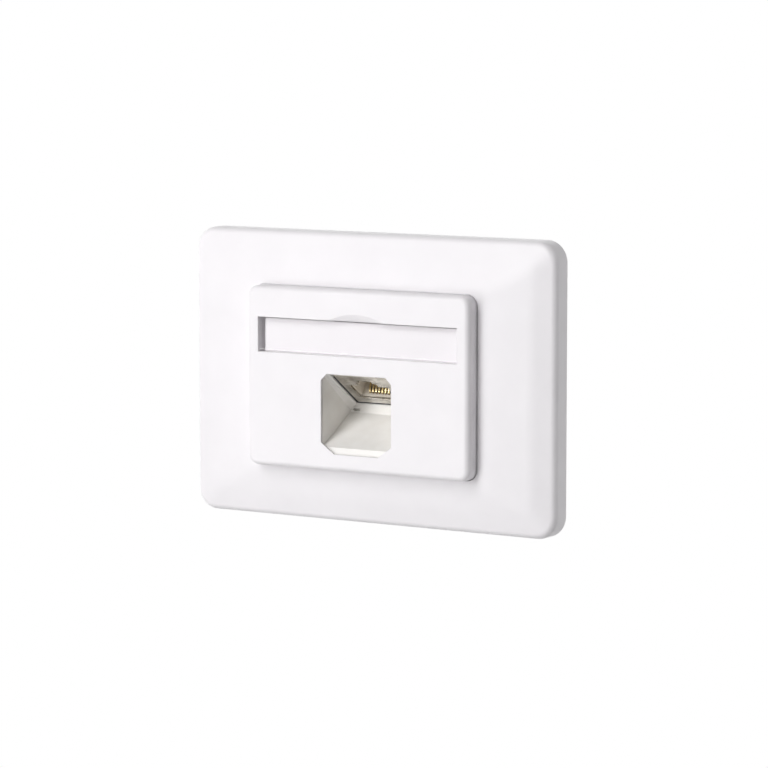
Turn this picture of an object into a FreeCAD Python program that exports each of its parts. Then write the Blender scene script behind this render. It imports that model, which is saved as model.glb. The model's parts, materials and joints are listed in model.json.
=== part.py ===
import FreeCAD, Part
import math
import os

import Sketcher
from FreeCAD import Placement, Rotation, Vector

# Ethernet wall socket in millimetres: a cover frame, a raised centre plate with a label window, and a
# shielded jack that looks down through a die-cast chute.
# X runs right, Z up and the room is on the -Y side. The wall is the plane y = 0 and the origin is the
# middle of the mounting plate's back. Heights are distances from the wall towards the room.

SIZES = {
    "Cover frame": {
        "frame_width": 116.0,
        "frame_height": 80.0,
        "frame_corner": 6.0,
        "rim_height": 5.8,
        "rim_round": 2.0,
        "bevel_width": 6.6,
        "bevel_rise": 1.8,
        "crease_round": 20.0,
        "mitre_round": 15.0,
        "slope_rise": 1.9,
        "frame_wall": 2.0,
        "collar_wall": 1.5,
        "ledge_width": 2.4,
        "ledge_thickness": 1.6,
        "rib_thickness": 1.2,
        "rib_height": 2.0,
        "rib_pitch": 24.0,
    },
    "Centre plate": {
        "plate_width": 71.4,
        "plate_height": 50.0,
        "plate_corner": 3.0,
        "plate_proud": 4.3,
        "plate_round": 1.5,
        "plate_skin": 2.5,
        "skirt_wall": 1.8,
        "frame_gap": 0.2,
        "arm_pitch": 44.0,
        "arm_width": 6.0,
        "arm_thickness": 1.4,
        "arm_inset": 1.0,
        "arm_gap": 0.3,
        "hook_reach": 0.9,
        "hook_length": 2.0,
    },
    "Label": {
        "label_width": 64.0,
        "label_height": 9.7,
        "label_bottom": 6.7,
        "label_depth": 3.7,
        "label_wall": 0.8,
        "notch_width": 18.0,
        "notch_height": 2.0,
        "notch_depth": 1.0,
        "cover_thickness": 1.5,
        "cover_gap": 0.2,
        "cover_sink": 0.2,
        "strip_thickness": 1.5,
        "strip_gap": 0.4,
        "strip_end_gap": 1.0,
    },
    "Jack opening": {
        "opening_margin": 2.8,
        "opening_height": 22.0,
        "opening_top": 1.7,
        "upper_cut": 1.8,
        "lower_cut_width": 4.2,
        "lower_cut_height": 3.0,
        "mouth_skin": 0.6,
        "seat_gap": 0.3,
    },
    "Mounting plate": {
        "mount_width": 106.0,
        "mount_height": 68.0,
        "mount_corner": 4.0,
        "mount_thickness": 1.5,
        "fixing_spacing": 83.5,
        "slot_length": 8.0,
        "slot_width": 4.2,
        "window_gap": 0.6,
    },
    "Chute": {
        "jack_tilt": 56.0,
        "window_rim": 0.3,
        "flank_front": 0.4,
        "sill_height": 2.5,
        "sill_slot_width": 2.4,
        "sill_slot_height": 0.6,
        "sill_slot_drop": 1.4,
        "sill_slot_inset": 0.8,
        "sill_slot_depth": 0.9,
        "lip_height": 1.8,
        "chute_wall": 1.8,
        "cheek_wall": 1.6,
        "chute_gap": 0.2,
        "chute_back": 1.3,
        "chute_lip": 1.0,
        "ear_width": 10.0,
        "ear_height": 12.0,
        "ear_thickness": 2.0,
        "ear_corner": 2.5,
        "screw_diameter": 3.0,
        "screw_gap": 0.2,
        "thread_gap": 0.05,
        "screw_tip": 2.0,
        "head_diameter": 5.6,
        "head_height": 2.0,
        "slot_cut": 0.8,
        "slot_depth": 1.0,
    },
    "Jack": {
        "jack_width": 17.0,
        "jack_height": 13.9,
        "jack_length": 16.0,
        "jack_gap": 0.8,
        "jack_sink": 0.3,
        "shield_wall": 0.5,
        "bezel_rise": 1.5,
        "insert_gap": 0.1,
        "port_sill": 2.9,
        "port_width": 11.8,
        "port_height": 6.8,
        "key_width": 6.2,
        "key_height": 1.7,
        "latch_width": 4.0,
        "latch_height": 1.2,
        "port_lip": 0.2,
        "port_depth": 11.0,
    },
    "Contacts": {
        "contact_pitch": 1.016,
        "contact_width": 0.46,
        "contact_thickness": 0.36,
        "contact_gap": 0.13,
        "contact_run": 0.95,
        "contact_front": 1.5,
        "contact_bend": 0.75,
        "contact_rise": 22.0,
        "contact_length": 7.0,
    },
    "Terminals": {
        "board_gap": 0.3,
        "board_margin": 0.3,
        "board_thickness": 1.2,
        "block_gap": 0.2,
        "block_length": 7.0,
        "terminal_pitch": 3.6,
        "terminal_row": 6.4,
        "terminal_width": 2.4,
        "terminal_thickness": 0.6,
        "terminal_gap": 0.15,
        "terminal_length": 6.2,
        "fork_width": 0.4,
        "fork_mouth": 1.4,
        "fork_depth": 4.2,
    },
    "Module housing": {
        "shell_gap": 0.2,
        "shell_wall": 1.0,
        "flange_side": 1.2,
        "flange_thickness": 2.0,
        "nose_gap": 0.05,
        "clip_thickness": 0.8,
        "clip_gap": 0.1,
        "clip_engage": 0.8,
        "clip_base": 1.6,
        "clip_reach": 11.0,
        "guide_thickness": 1.6,
        "guide_rim": 1.6,
        "guide_bar": 1.4,
        "cap_gap": 0.2,
        "cap_thickness": 1.5,
        "inlet_bore": 8.4,
        "trough_gap": 0.3,
        "trough_wall": 1.0,
        "trough_length": 6.0,
        "strap_width": 4.0,
        "lug_gap": 1.2,
        "lug_thickness": 1.2,
        "clamp_screw_diameter": 1.6,
        "clamp_screw_gap": 0.1,
        "clamp_head_diameter": 2.8,
        "clamp_head_height": 1.2,
        "clamp_slot_cut": 0.5,
    },
}

WIRE_NUMBERS = range(1, 9)


class Size:
    """A number kept together with the sheet formula that gives it."""

    def __init__(self, value, text):
        self.value = value
        self.text = text

    def __add__(self, other):
        return combine(self, "+", other)

    def __radd__(self, other):
        return combine(other, "+", self)

    def __sub__(self, other):
        return combine(self, "-", other)

    def __rsub__(self, other):
        return combine(other, "-", self)

    def __mul__(self, other):
        return combine(self, "*", other)

    def __rmul__(self, other):
        return combine(other, "*", self)

    def __truediv__(self, other):
        return combine(self, "/", other)

    def __neg__(self):
        return combine(0, "-", self)


def as_size(item):
    return item if isinstance(item, Size) else Size(float(item), f"{float(item):g}")


def combine(first, sign, second):
    first = as_size(first)
    second = as_size(second)
    results = {
        "+": first.value + second.value,
        "-": first.value - second.value,
        "*": first.value * second.value,
        "/": first.value / second.value if second.value else math.inf,
    }
    return Size(results[sign], f"({first.text} {sign} {second.text})")


def sine(angle):
    return Size(math.sin(math.radians(angle.value)), f"sin({angle.text})")


def cosine(angle):
    return Size(math.cos(math.radians(angle.value)), f"cos({angle.text})")


def slant(rise, run):
    """The angle of a slope in degrees."""
    return Size(math.degrees(math.atan2(rise.value, run.value)), f"atan({rise.text} / {run.text})")


def root(square):
    return Size(math.sqrt(square.value), f"sqrt({square.text})")


doc = FreeCAD.newDocument("wall_socket")
sheet = doc.addObject("Spreadsheet::Sheet", "Dims")


class Sizes:
    """The sheet's named cells as attributes."""


def fill_sheet():
    named = Sizes()
    row = 1
    for heading, entries in SIZES.items():
        sheet.set(f"A{row}", heading)
        row += 1
        for alias, value in entries.items():
            sheet.set(f"A{row}", alias)
            sheet.set(f"B{row}", str(value))
            sheet.setAlias(f"B{row}", alias)
            setattr(named, alias, Size(value, f"Dims.{alias}"))
            row += 1
    doc.recompute()
    return named


d = fill_sheet()

# Places that several pieces share.
crease_height = d.rim_height + d.bevel_rise
edge_height = crease_height + d.slope_rise
plate_front = edge_height + d.plate_proud
skin_back = plate_front - d.plate_skin
ledge_top = d.mount_thickness + d.ledge_thickness
frame_opening = (
    d.plate_width + 2 * d.frame_gap,
    d.plate_height + 2 * d.frame_gap,
    d.plate_corner + d.frame_gap,
)
label_top = d.label_bottom + d.label_height
opening_side = d.jack_width / 2 + d.opening_margin
opening_bottom = d.opening_top - d.opening_height
window_height = d.jack_height + d.bezel_rise + 2 * d.jack_gap
face_length = window_height + d.window_rim
chute_front = plate_front - d.mouth_skin - d.chute_gap
chute_depth = face_length * sine(d.jack_tilt)
apex_height = chute_front - chute_depth
apex_level = d.opening_top - face_length * cosine(d.jack_tilt)
ramp_head = apex_level - d.sill_height
ramp_foot = opening_bottom + d.lip_height
window_side = d.jack_width / 2 + d.jack_gap
chute_top = d.opening_top + d.chute_wall
chute_bottom = opening_bottom - d.chute_lip
housing_side = opening_side + d.cheek_wall
ear_middle = housing_side + d.ear_width / 2
ear_level = (chute_top + chute_bottom) / 2
arm_level = d.plate_height / 2 - d.skirt_wall - d.arm_inset
screw_places = [(side * ear_middle, ear_level) for side in (-1, 1)]

# Places along the jack's axis: v climbs the jack's face from the chute's foot, and n runs out of the port.
jack_foot = d.jack_gap
jack_top = jack_foot + d.jack_height
jack_middle = jack_foot + d.jack_height / 2
jack_front = -d.jack_sink
jack_back = jack_front - d.jack_length
port_floor = jack_foot + d.port_sill
insert_front = jack_front - d.shield_wall - d.insert_gap
contact_level = port_floor - d.contact_run
contact_nose = jack_front - d.contact_front
board_front = jack_back - d.board_gap
board_back = board_front - d.board_thickness
block_front = board_back - d.block_gap
block_back = block_front - d.block_length
flange_front = -d.chute_wall
flange_back = flange_front - d.flange_thickness
shell_side = d.jack_width / 2 + d.shell_gap + d.shell_wall
shell_foot = jack_foot - d.shell_gap - d.shell_wall
shell_top = jack_top + d.shell_gap + d.shell_wall
guide_front = block_back - d.block_gap
guide_back = guide_front - d.guide_thickness
shell_back = guide_back - d.cap_gap
cap_back = shell_back - d.cap_thickness
trough_bore = d.inlet_bore / 2 + d.trough_gap
trough_radius = trough_bore + d.trough_wall
lug_middle = (trough_radius + shell_side) / 2
clip_level = shell_foot - d.clip_gap
module_reach = (apex_height + shell_top * sine(d.jack_tilt)) / cosine(d.jack_tilt)
module_rise = apex_level + shell_top * cosine(d.jack_tilt) + module_reach * sine(d.jack_tilt)
strap_middle = cap_back - d.trough_length / 2


def new_body(label, on_jack=False):
    body = doc.addObject("PartDesign::Body", label)
    body.Label = label
    if on_jack:
        turn = 90 + d.jack_tilt
        body.Placement = Placement(Vector(0, 0, 0), Rotation(Vector(1, 0, 0), turn.value))
        body.setExpression("Placement.Base.y", (-apex_height).text)
        body.setExpression("Placement.Base.z", apex_level.text)
        body.setExpression("Placement.Rotation.Angle", turn.text)
    return body


def new_sketch(body, name, plane, lift=0):
    """An empty sketch on one of the body's own planes, lifted along the plane's normal."""
    sketch = body.newObject("Sketcher::SketchObject", name)
    origin = next(item for item in body.Origin.OriginFeatures if item.Role == plane)
    sketch.AttachmentSupport = [(origin, "")]
    sketch.MapMode = "FlatFace"
    sketch.setExpression("AttachmentOffset.Base.z", as_size(lift).text)
    return sketch


def face_sketch(body, name, depth=0):
    """An empty sketch parallel to the jack's face at a depth behind it, with v up from the chute's foot."""
    sketch = new_sketch(body, name, "XZ_Plane", apex_height - as_size(depth) * cosine(d.jack_tilt))
    sketch.AttachmentOffset = Placement(Vector(0, 0, 0), Rotation(Vector(1, 0, 0), d.jack_tilt.value))
    sketch.setExpression("AttachmentOffset.Base.y", (apex_level + as_size(depth) * sine(d.jack_tilt)).text)
    sketch.setExpression("AttachmentOffset.Rotation.Angle", d.jack_tilt.text)
    return sketch


def hold(sketch, kind, *arguments):
    """Adds one constraint, bound to the sheet where its last argument is a size."""
    size = arguments[-1]
    if not isinstance(size, Size):
        sketch.addConstraint(Sketcher.Constraint(kind, *arguments))
        return
    index = sketch.addConstraint(Sketcher.Constraint(kind, *arguments[:-1], size.value))
    sketch.setExpression(f"Constraints[{index}]", size.text)


def place_point(sketch, geometry, point, across, upward):
    hold(sketch, "DistanceX", -1, 1, geometry, point, as_size(across))
    hold(sketch, "DistanceY", -1, 1, geometry, point, as_size(upward))


def add_line(sketch, start, end):
    """A free line between two points that are pairs of sizes."""
    ends = [Vector(point[0].value, point[1].value, 0) for point in (start, end)]
    return sketch.addGeometry(Part.LineSegment(*ends))


def add_polygon(sketch, corners):
    corners = [(as_size(across), as_size(upward)) for across, upward in corners]
    first = sketch.GeometryCount
    count = len(corners)
    for index in range(count):
        start = corners[index]
        end = corners[(index + 1) % count]
        add_line(sketch, start, end)
    for index in range(count):
        hold(sketch, "Coincident", first + index, 2, first + (index + 1) % count, 1)
        place_point(sketch, first + index, 1, *corners[index])
    return sketch


def mirrored(corners):
    """The same corners on the left, in the order that closes the outline."""
    return [(-across, upward) for across, upward in reversed(corners)]


def add_rectangle(sketch, left, right, low, high):
    return add_polygon(sketch, [(left, low), (right, low), (right, high), (left, high)])


def add_rounded(sketch, width, height, radius, across=0, upward=0):
    """A rectangle with four equal round corners about a middle point."""
    left, right = as_size(across) - width / 2, as_size(across) + width / 2
    low, high = as_size(upward) - height / 2, as_size(upward) + height / 2
    r = radius.value
    first = sketch.GeometryCount
    ends = [
        ((left.value + r, low.value), (right.value - r, low.value)),
        ((right.value, low.value + r), (right.value, high.value - r)),
        ((right.value - r, high.value), (left.value + r, high.value)),
        ((left.value, high.value - r), (left.value, low.value + r)),
    ]
    centres = [
        (right.value - r, low.value + r),
        (right.value - r, high.value - r),
        (left.value + r, high.value - r),
        (left.value + r, low.value + r),
    ]
    for side in range(4):
        start, end = ends[side]
        sketch.addGeometry(Part.LineSegment(Vector(*start, 0), Vector(*end, 0)))
        circle = Part.Circle(Vector(*centres[side], 0), Vector(0, 0, 1), r)
        turn = math.radians(90 * side)
        sketch.addGeometry(Part.ArcOfCircle(circle, turn - math.pi / 2, turn))
    for side in range(4):
        line, arc = first + 2 * side, first + 2 * side + 1
        following = first + (2 * side + 2) % 8
        hold(sketch, "Tangent", line, 2, arc, 1)
        hold(sketch, "Tangent", arc, 2, following, 1)
        hold(sketch, "Vertical" if side % 2 else "Horizontal", line)
        if side:
            hold(sketch, "Equal", first + 1, arc)
    hold(sketch, "Radius", first + 1, radius)
    hold(sketch, "DistanceY", -1, 1, first, 1, low)
    hold(sketch, "DistanceX", -1, 1, first + 2, 1, right)
    hold(sketch, "DistanceY", -1, 1, first + 4, 1, high)
    hold(sketch, "DistanceX", -1, 1, first + 6, 1, left)
    return sketch


def add_circle(sketch, radius, across=0, upward=0):
    across, upward = as_size(across), as_size(upward)
    circle = Part.Circle(Vector(across.value, upward.value, 0), Vector(0, 0, 1), radius.value)
    index = sketch.addGeometry(circle)
    hold(sketch, "Radius", index, radius)
    place_point(sketch, index, 3, across, upward)
    return sketch


def add_slot(sketch, length, width, across, upward):
    """A slot with round ends that runs along the sketch's first axis."""
    across, upward, r = as_size(across), as_size(upward), width / 2
    reach = length / 2 - r
    first = sketch.GeometryCount
    left, right = across - reach, across + reach
    low, high = upward - r, upward + r
    up = Vector(0, 0, 1)
    add_line(sketch, (left, low), (right, low))
    end = Part.Circle(Vector(right.value, upward.value, 0), up, r.value)
    sketch.addGeometry(Part.ArcOfCircle(end, -math.pi / 2, math.pi / 2))
    add_line(sketch, (right, high), (left, high))
    end = Part.Circle(Vector(left.value, upward.value, 0), up, r.value)
    sketch.addGeometry(Part.ArcOfCircle(end, math.pi / 2, 3 * math.pi / 2))
    for step in range(4):
        hold(sketch, "Tangent", first + step, 2, first + (step + 1) % 4, 1)
    hold(sketch, "Radius", first + 1, r)
    place_point(sketch, first + 1, 3, right, upward)
    place_point(sketch, first + 3, 3, left, upward)
    return sketch


def feature(body, kind, name, profile, length, symmetric=False, reverse=False):
    item = body.newObject(f"PartDesign::{kind}", name)
    item.Profile = profile
    item.SideType = "Symmetric" if symmetric else "One side"
    item.Reversed = reverse
    item.setExpression("Length", as_size(length).text)
    return item


def pad(body, name, profile, length, symmetric=False, reverse=False):
    item = feature(body, "Pad", name, profile, length, symmetric, reverse)
    doc.recompute()
    return item


def pocket(body, name, profile, length, symmetric=False, reverse=False):
    """Cuts the profile away and makes sure that material went."""
    before = body.Shape.Volume
    item = feature(body, "Pocket", name, profile, length, symmetric, reverse)
    doc.recompute()
    if not body.Shape.Volume < before:
        raise RuntimeError(f"{body.Label}: {name} cuts nothing")
    return item


def cut_away(body, name, tool):
    """Takes the shape of another body out of this one."""
    item = body.newObject("PartDesign::Boolean", name)
    item.Type = "Cut"
    item.addObject(tool)
    doc.recompute()
    return item


def edges_where(body, test):
    """Names of the body's edges whose points, the ends and then the middle, pass the test."""
    names = []
    for index, edge in enumerate(body.Tip.Shape.Edges, 1):
        points = [vertex.Point for vertex in edge.Vertexes]
        points.append(edge.valueAt((edge.FirstParameter + edge.LastParameter) / 2))
        if test(points):
            names.append(f"Edge{index}")
    return names


def every(check):
    """A test that each point of an edge passes the check."""
    return lambda points: all(check(point) for point in points)


def dress(body, kind, name, test, size):
    """Rounds or chamfers the edges that pass the test."""
    base = body.Tip
    names = edges_where(body, test)
    if not names:
        raise RuntimeError(f"{body.Label}: {name} finds no edge")
    item = body.newObject(f"PartDesign::{kind}", name)
    item.Base = (base, names)
    item.setExpression("Radius" if kind == "Fillet" else "Size", as_size(size).text)
    doc.recompute()
    return item


def near(value, target):
    return abs(value - as_size(target).value) < 1e-4


def front_profile(half, inner, drop):
    """The frame's front on one side, from outside inwards: distances from the middle, with heights.

    The bevel runs from the foot to where the round begins, and the slope from where it ends to the edge.
    """
    crease = half - d.bevel_width
    run = crease - inner
    bevel_length = root(d.bevel_width * d.bevel_width + d.bevel_rise * d.bevel_rise)
    slope_length = root(run * run + d.slope_rise * d.slope_rise)
    bevel = (d.bevel_width / bevel_length, d.bevel_rise / bevel_length)
    slope = (run / slope_length, d.slope_rise / slope_length)
    turn = bevel[0] * slope[0] + bevel[1] * slope[1]
    reach = d.crease_round * root((1 - turn) / (1 + turn))
    level = crease_height - drop
    return {
        "foot": (half + d.bevel_width, d.rim_height - d.bevel_rise - drop),
        "begin": (crease + reach * bevel[0], level - reach * bevel[1]),
        "end": (crease - reach * slope[0], level + reach * slope[1]),
        "edge": (inner, edge_height - drop),
        "corner": (half + d.bevel_width, edge_height - drop),
        "centre": (
            crease + reach * bevel[0] - d.crease_round * bevel[1],
            level - reach * bevel[1] - d.crease_round * bevel[0],
        ),
    }


def add_front(sketch, profile):
    """What lies in front of one side of the frame, with a round between bevel and slope."""
    first = sketch.GeometryCount
    stretches = [("foot", "begin"), ("end", "edge"), ("edge", "corner"), ("corner", "foot")]
    for start, end in stretches:
        add_line(sketch, profile[start], profile[end])
    angles = {}
    for name in ("begin", "end"):
        away = [profile[name][axis].value - profile["centre"][axis].value for axis in (0, 1)]
        angles[name] = math.atan2(away[1], away[0])
    centre = Vector(*(size.value for size in profile["centre"]), 0)
    circle = Part.Circle(centre, Vector(0, 0, 1), d.crease_round.value)
    order = ["begin", "end"]
    if math.sin(angles["end"] - angles["begin"]) < 0:
        order.reverse()
    arc = sketch.addGeometry(Part.ArcOfCircle(circle, angles[order[0]], angles[order[1]]))
    for index, (start, end) in enumerate(stretches):
        place_point(sketch, first + index, 1, *profile[start])
    hold(sketch, "Coincident", first + 1, 2, first + 2, 1)
    hold(sketch, "Coincident", first + 2, 2, first + 3, 1)
    hold(sketch, "Coincident", first + 3, 2, first, 1)
    place_point(sketch, first, 2, *profile["begin"])
    hold(sketch, "Coincident", arc, 1 + order.index("begin"), first, 2)
    hold(sketch, "Coincident", arc, 1 + order.index("end"), first + 1, 1)
    hold(sketch, "Radius", arc, d.crease_round)


def cut_front(body, drop=0):
    """Cuts the front profile along the left and right sides and along top and bottom, so that they mitre."""
    across = new_sketch(body, "front_left_right", "XY_Plane")
    upward = new_sketch(body, "front_top_bottom", "YZ_Plane")
    sides = front_profile(d.frame_width / 2, frame_opening[0] / 2, drop)
    ends = front_profile(d.frame_height / 2, frame_opening[1] / 2, drop)
    for hand in (-1, 1):
        add_front(across, {name: (hand * away, -height) for name, (away, height) in sides.items()})
        add_front(upward, {name: (-height, hand * away) for name, (away, height) in ends.items()})
    pocket(body, "front_sides", across, d.frame_height, symmetric=True)
    pocket(body, "front_ends", upward, d.frame_width, symmetric=True)


def frame_core(inside):
    """The space inside the frame, which follows its front at the wall's thickness."""
    body = new_body("frame_core")
    outline = add_rounded(new_sketch(body, "core_outline", "XZ_Plane"), *inside)
    pad(body, "core", outline, edge_height - d.frame_wall)
    cut_front(body, d.frame_wall)
    return body


def make_cover_frame():
    """A moulded shell: side wall, round rim, bevel and slopes with mitred corners, and a collar inside."""
    body = new_body("cover_frame")
    outline = new_sketch(body, "outline", "XZ_Plane")
    add_rounded(outline, d.frame_width, d.frame_height, d.frame_corner)
    pad(body, "block", outline, edge_height)
    cut_front(body)

    def on_outline(point):
        beyond = [abs(point.x) - d.frame_width.value / 2, abs(point.z) - d.frame_height.value / 2]
        away = math.hypot(*(max(past + d.frame_corner.value, 0) for past in beyond))
        return near(away, d.frame_corner)

    def on_mitre(points):
        slants = not near(points[0].x, points[1].x) and not near(points[0].z, points[1].z)
        return slants and not all(on_outline(point) for point in points)

    def on_rim(point):
        return on_outline(point) and -point.y > d.rim_height.value - d.rim_round.value

    dress(body, "Fillet", "mitres", on_mitre, d.mitre_round)
    dress(body, "Fillet", "rim", every(on_rim), d.rim_round)

    inside = (
        d.frame_width - 2 * d.frame_wall,
        d.frame_height - 2 * d.frame_wall,
        d.frame_corner - d.frame_wall,
    )
    cut_away(body, "hollow", frame_core(inside))
    collar = tuple(size + grow * d.collar_wall for size, grow in zip(frame_opening, (2, 2, 1)))

    ring = new_sketch(body, "collar_outline", "XZ_Plane", d.mount_thickness)
    add_rounded(ring, *collar)
    add_rounded(ring, *frame_opening)
    cut = add_rounded(new_sketch(body, "opening_outline", "XZ_Plane", edge_height), *frame_opening)
    pocket(body, "opening", cut, edge_height)
    pad(body, "collar", ring, edge_height - d.frame_wall / 2 - d.mount_thickness)
    shelf = new_sketch(body, "ledge_outline", "XZ_Plane", d.mount_thickness)
    add_rounded(shelf, *collar)
    shelf_side, shelf_end = (size / 2 - d.ledge_width for size in frame_opening[:2])
    add_rectangle(shelf, -shelf_side, shelf_side, -shelf_end, shelf_end)
    pad(body, "ledge", shelf, d.ledge_thickness)

    ribs = new_sketch(body, "rib_outline", "XZ_Plane", ledge_top - d.rib_height / 2)
    rib_foot = collar[1] / 2 - d.collar_wall / 2
    rib_end = inside[1] / 2 + d.frame_wall / 2
    for step in (-1, 0, 1):
        left = step * d.rib_pitch - d.rib_thickness / 2
        right = step * d.rib_pitch + d.rib_thickness / 2
        add_rectangle(ribs, left, right, rib_foot, rib_end)
        add_rectangle(ribs, left, right, -rib_end, -rib_foot)
    pad(body, "ribs", ribs, d.rib_height)
    return body


def make_centre_plate():
    """A raised cap with a skirt, a label recess, a nail notch, the jack opening and four snap arms."""
    body = new_body("centre_plate")
    outline = add_rounded(
        new_sketch(body, "outline", "XZ_Plane", ledge_top), d.plate_width, d.plate_height, d.plate_corner
    )
    pad(body, "block", outline, plate_front - ledge_top)
    dress(body, "Fillet", "front_edge", every(lambda p: near(-p.y, plate_front)), d.plate_round)
    inside = add_rounded(
        new_sketch(body, "inside", "XZ_Plane", ledge_top),
        d.plate_width - 2 * d.skirt_wall,
        d.plate_height - 2 * d.skirt_wall,
        d.plate_corner - d.skirt_wall,
    )
    pocket(body, "hollow", inside, skin_back - ledge_top, reverse=True)

    label_side = d.label_width / 2
    well_back = plate_front - d.label_depth - d.label_wall
    well = add_rectangle(
        new_sketch(body, "well_outline", "XZ_Plane", well_back),
        -label_side - d.label_wall,
        label_side + d.label_wall,
        d.label_bottom - d.label_wall,
        label_top + d.label_wall,
    )
    pad(body, "well", well, skin_back - well_back)
    recess = new_sketch(body, "recess_outline", "XZ_Plane", plate_front)
    add_rectangle(recess, -label_side, label_side, d.label_bottom, label_top)
    pocket(body, "recess", recess, d.label_depth)

    cut_nail_notch(body)
    seat = add_rectangle(
        new_sketch(body, "chute_seat", "XZ_Plane", skin_back),
        -housing_side - d.seat_gap,
        housing_side + d.seat_gap,
        chute_bottom - d.seat_gap,
        chute_top + d.seat_gap,
    )
    pocket(body, "seat", seat, d.plate_skin - d.mouth_skin, reverse=True)
    opening = new_sketch(body, "jack_outline", "XZ_Plane", plate_front)
    add_polygon(opening, opening_corners())
    pocket(body, "jack_opening", opening, d.mouth_skin)

    for side in (-1, 1):
        for end in (-1, 1):
            add_snap_arm(body, side, end)
    return body


def cut_nail_notch(body):
    """A scoop above the recess where a nail lifts the label cover: a cylinder that dips towards it."""
    half = d.notch_width / 2
    run = root(d.notch_depth * d.notch_depth + d.notch_height * d.notch_height)
    sag = d.notch_height * d.notch_depth / run
    radius = (half * half + sag * sag) / (2 * sag)
    dip = slant(d.notch_depth, d.notch_height)
    sketch = new_sketch(body, "notch_section", "XY_Plane", label_top + d.notch_height)
    sketch.AttachmentOffset = Placement(Vector(0, 0, 0), Rotation(Vector(1, 0, 0), dip.value))
    sketch.setExpression("AttachmentOffset.Base.y", (-plate_front).text)
    sketch.setExpression("AttachmentOffset.Rotation.Angle", dip.text)
    add_circle(sketch, radius, 0, -radius)
    pocket(body, "nail_notch", sketch, 2 * run)


def opening_corners():
    """The jack opening's outline: a rectangle with two small upper and two larger lower corner cuts."""
    right = [
        (opening_side - d.lower_cut_width, opening_bottom),
        (opening_side, opening_bottom + d.lower_cut_height),
        (opening_side, d.opening_top - d.upper_cut),
        (opening_side - d.upper_cut, d.opening_top),
    ]
    return right + mirrored(right)


def add_snap_arm(body, side, end):
    """A springy arm under the skin whose hook catches behind the mounting plate."""
    place = f"{'left' if side < 0 else 'right'}_{'lower' if end < 0 else 'upper'}"
    sketch = new_sketch(body, f"arm_{place}", "YZ_Plane", side * d.arm_pitch / 2)
    inner = end * (arm_level - d.arm_thickness)
    outer = end * arm_level
    tip = end * (arm_level + d.hook_reach)
    catch = d.arm_gap
    nose = catch + d.hook_length
    inner_side = [(-skin_back, inner), (nose, inner), (nose, outer)]
    hook_side = [(catch, tip), (catch, outer), (-skin_back, outer)]
    pad(body, f"snap_{place}", add_polygon(sketch, inner_side + hook_side), d.arm_width, symmetric=True)


def make_label_cover():
    """The clear window, with a round lower edge that it tilts about."""
    body = new_body("label_cover")
    sketch = new_sketch(body, "section", "YZ_Plane")
    front = d.cover_sink - plate_front
    back = front + d.cover_thickness
    radius = d.cover_thickness / 2
    low = d.label_bottom + d.cover_gap + radius
    high = label_top - d.cover_gap
    add_line(sketch, (back, low), (back, high))
    add_line(sketch, (back, high), (front, high))
    add_line(sketch, (front, high), (front, low))
    bead = Part.Circle(Vector((front + radius).value, low.value, 0), Vector(0, 0, 1), radius.value)
    sketch.addGeometry(Part.ArcOfCircle(bead, math.pi, 2 * math.pi))
    hold(sketch, "Coincident", 0, 2, 1, 1)
    hold(sketch, "Coincident", 1, 2, 2, 1)
    hold(sketch, "Tangent", 2, 2, 3, 1)
    hold(sketch, "Tangent", 3, 2, 0, 1)
    hold(sketch, "Vertical", 2)
    hold(sketch, "Radius", 3, radius)
    place_point(sketch, 3, 3, front + radius, low)
    place_point(sketch, 0, 2, back, high)
    hold(sketch, "Horizontal", 1)
    pad(body, "window", sketch, d.label_width - 2 * d.cover_gap, symmetric=True)
    return body


def make_label_strip():
    body = new_body("label_strip")
    floor = plate_front - d.label_depth
    side = d.label_width / 2 - d.strip_end_gap
    sketch = new_sketch(body, "outline", "XZ_Plane", floor)
    add_rectangle(sketch, -side, side, d.label_bottom, label_top - d.strip_gap)
    pad(body, "strip", sketch, d.strip_thickness)
    return body


def make_mounting_plate():
    """A pressed plate with fixing slots, a window for the chute, snap arm slots and screw holes."""
    body = new_body("mounting_plate")
    far_side, far_end = d.mount_width / 2, d.mount_height / 2
    corners = [
        (far_side - d.mount_corner, -far_end),
        (far_side, d.mount_corner - far_end),
        (far_side, far_end - d.mount_corner),
        (far_side - d.mount_corner, far_end),
    ]
    outline = add_polygon(new_sketch(body, "outline", "XZ_Plane"), corners + mirrored(corners))
    pad(body, "sheet", outline, d.mount_thickness)
    cuts = new_sketch(body, "cuts", "XZ_Plane")
    side = housing_side + d.window_gap
    add_rectangle(cuts, -side, side, chute_bottom - d.window_gap, module_rise + d.window_gap)
    for hand in (-1, 1):
        add_slot(cuts, d.slot_length, d.slot_width, hand * d.fixing_spacing / 2, 0)
        left = hand * d.arm_pitch / 2 - d.arm_width / 2 - d.arm_gap
        right = hand * d.arm_pitch / 2 + d.arm_width / 2 + d.arm_gap
        low = arm_level - d.arm_thickness - d.hook_reach - d.arm_gap
        high = arm_level + d.arm_gap / 2
        add_rectangle(cuts, left, right, low, high)
        add_rectangle(cuts, left, right, -high, -low)
    for across, upward in screw_places:
        add_circle(cuts, d.screw_diameter / 2 + d.thread_gap, across, upward)
    pocket(body, "openings", cuts, d.mount_thickness, reverse=True)
    return body


def add_flank(body, hand):
    """Fills the corner between a cheek and the sloping face with a facet that widens towards the jack."""
    place = "left" if hand < 0 else "right"
    ends = [
        (chute_front, d.opening_top, d.flank_front),
        (apex_height, apex_level, opening_side - window_side),
    ]
    sections = []
    for height, top, width in ends:
        sketch = new_sketch(body, f"{place}_flank_{len(sections) + 1}", "XZ_Plane", height)
        corners = [(opening_side, top), (opening_side, top - width), (opening_side - width, top)]
        sections.append(add_polygon(sketch, [(hand * across, upward) for across, upward in corners]))
    flank = body.newObject("PartDesign::AdditiveLoft", f"{place}_flank")
    flank.Profile = sections[0]
    flank.Sections = sections[1:]
    flank.Ruled = True
    doc.recompute()


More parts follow.
